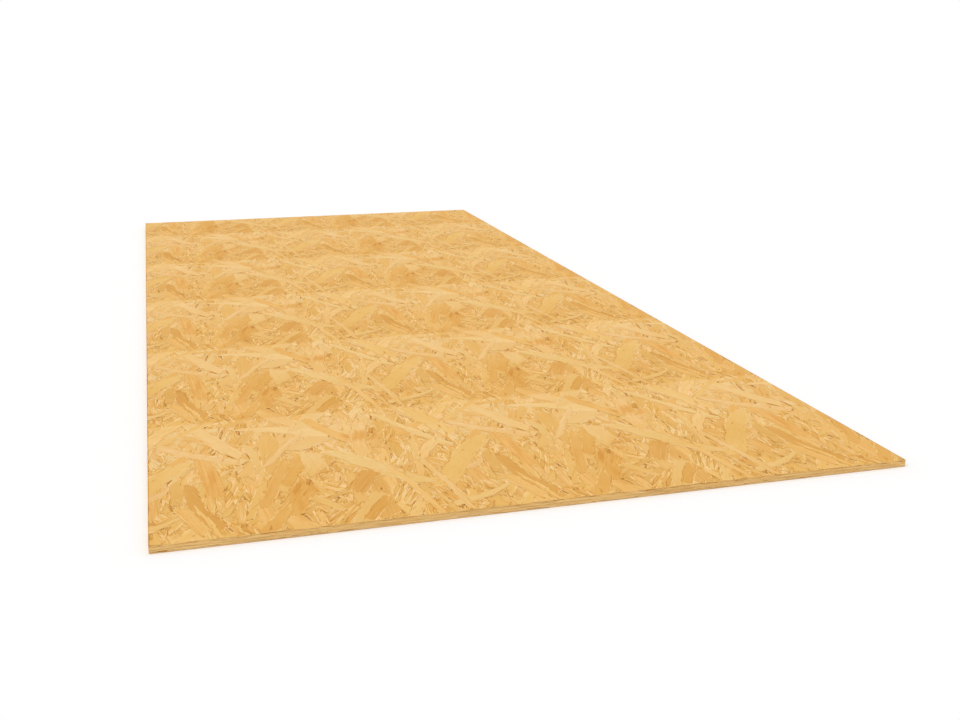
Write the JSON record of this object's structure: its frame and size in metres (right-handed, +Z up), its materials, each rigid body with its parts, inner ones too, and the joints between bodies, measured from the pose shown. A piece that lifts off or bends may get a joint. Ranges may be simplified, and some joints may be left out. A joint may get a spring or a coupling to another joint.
{
  "type": "oriented strand board panel",
  "caption": "Full rectangular panel of oriented strand board with square sawn edges, its surface strands laid along the length.",
  "frame": {"origin": "middle of the underside, the face that the board lies on", "axes": "+X across the width, +Y along the length and the run of the surface strands, +Z up through the thickness"},
  "size_m": [1.196, 2.8, 0.012],
  "materials": {
    "osb_board": "pressed wood strands bound with clear resin, matt with a faint wax sheen, sawn edges"
  },
  "bodies": {
    "root": {"osb_board": "osb_board"}
  },
  "joints": []
}
